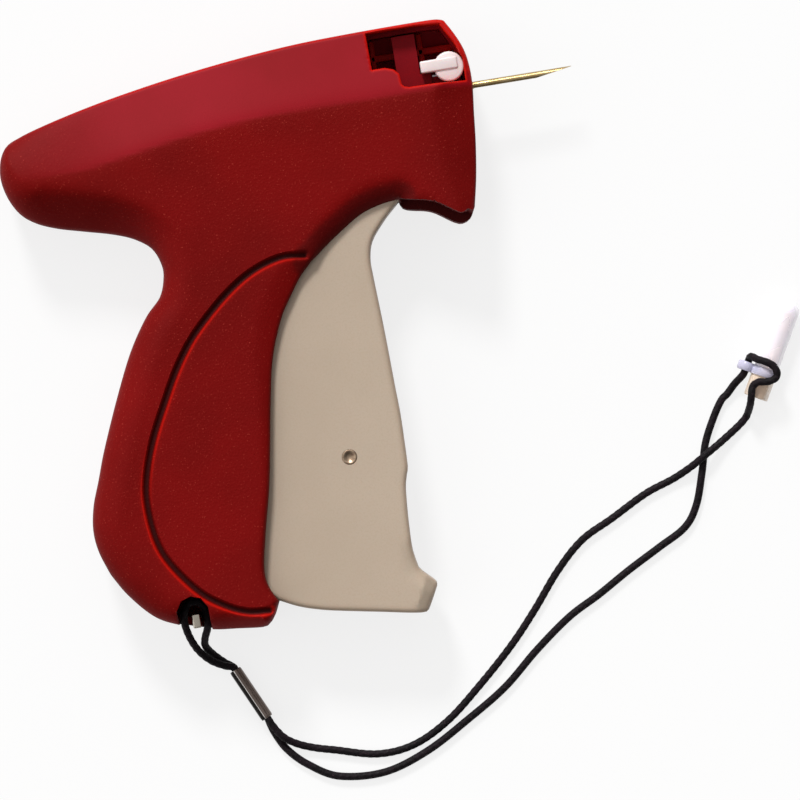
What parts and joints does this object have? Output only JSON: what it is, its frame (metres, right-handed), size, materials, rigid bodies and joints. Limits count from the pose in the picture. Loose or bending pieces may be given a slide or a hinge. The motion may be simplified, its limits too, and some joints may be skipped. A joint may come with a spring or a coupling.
{
  "type": "garment tag attacher",
  "caption": "Hand-held gun that pushes plastic tag fasteners through cloth with a squeeze trigger, a slotted needle and a corded needle cap",
  "frame": {"origin": "bottom centre of the gun's own box, without its lanyard, as it lies on its side", "axes": "+X along the needle, +Y up the gun from the grip to the barrel, +Z out of the face it rests on"},
  "size_m": [0.1841, 0.1776, 0.023],
  "materials": {
    "red_shell": "dark red moulded plastic, fine spark texture on the sides, satin on the edges",
    "cream_trigger": "cream moulded plastic, smooth and half glossy",
    "white_plastic": "white low-friction plastic",
    "white_knob": "white glossy plastic",
    "clear_cap": "clear, slightly cloudy soft plastic",
    "brass_needle": "polished brass-coloured steel",
    "bronze_rivet": "bronze rivet, turned end with a dimple",
    "ferrule_metal": "dark crimped metal tube",
    "steel": "plain steel",
    "black_cord": "black braided cord with a faint brown fleck"
  },
  "bodies": {
    "root": {"right_shell": "red_shell", "left_shell": "red_shell", "shell_screws": "steel", "trigger_axle": "steel", "lever_bracket": "steel", "lever_axle": "steel", "return_spring": "steel", "feed_guide": "red_shell", "feed_axle": "steel", "pawl_pin": "steel", "detent_spring": "steel", "needle_base": "white_plastic", "needle": "brass_needle", "cutter_blade": "steel", "strap_post": "steel", "lanyard_eye": "black_cord", "ferrule": "ferrule_metal", "lanyard_loop": "black_cord", "needle_cap": "clear_cap"},
    "trigger": {"trigger": "cream_trigger", "trigger_rivet": "bronze_rivet"},
    "lever": {"drive_lever": "steel"},
    "slider": {"slider": "white_plastic", "slider_pin": "steel", "push_rod": "steel"},
    "wheel": {"feed_wheel": "white_plastic"},
    "pawl": {"feed_pawl": "steel"},
    "lock": {"needle_lock": "white_knob"}
  },
  "joints": [
    {"name": "trigger_squeeze", "type": "hinge", "parent": "root", "child": "trigger", "pos_m": [0.0143, 0.0345, 0.0115], "axis": [0, 0, -1], "range_deg": [0, 9.4], "stiffness_Nm_per_rad": 2, "springref_deg": -5.73},
    {"name": "lever_swing", "type": "hinge", "parent": "root", "child": "lever", "pos_m": [-0.0072, -0.0124, 0.0115], "axis": [0, 0, -1], "range_deg": [0, 31]},
    {"name": "slider_stroke", "type": "slide", "parent": "root", "child": "slider", "axis": [1, 0, 0], "range_m": [0, 0.038], "deforming": ["return_spring"]},
    {"name": "wheel_turn", "type": "hinge", "parent": "root", "child": "wheel", "pos_m": [0.03075, 0.0446, 0.01535], "axis": [1, 0, 0], "continuous": true},
    {"name": "pawl_swing", "type": "hinge", "parent": "root", "child": "pawl", "pos_m": [0.03075, 0.0346, 0.0165], "axis": [1, 0, 0], "range_deg": [0, 9.4]},
    {"name": "lock_turn", "type": "hinge", "parent": "root", "child": "lock", "pos_m": [0.0405, 0.0581, 0.0115], "axis": [0, 0, -1], "range_deg": [0, 75]}
  ],
  "couplings": [
    {"joint": "lever_swing", "follows": "trigger_squeeze", "ratio": 3.2978},
    {"joint": "slider_stroke", "follows": "trigger_squeeze", "m_per_rad": 0.2316},
    {"joint": "pawl_swing", "follows": "trigger_squeeze", "ratio": 1}
  ]
}
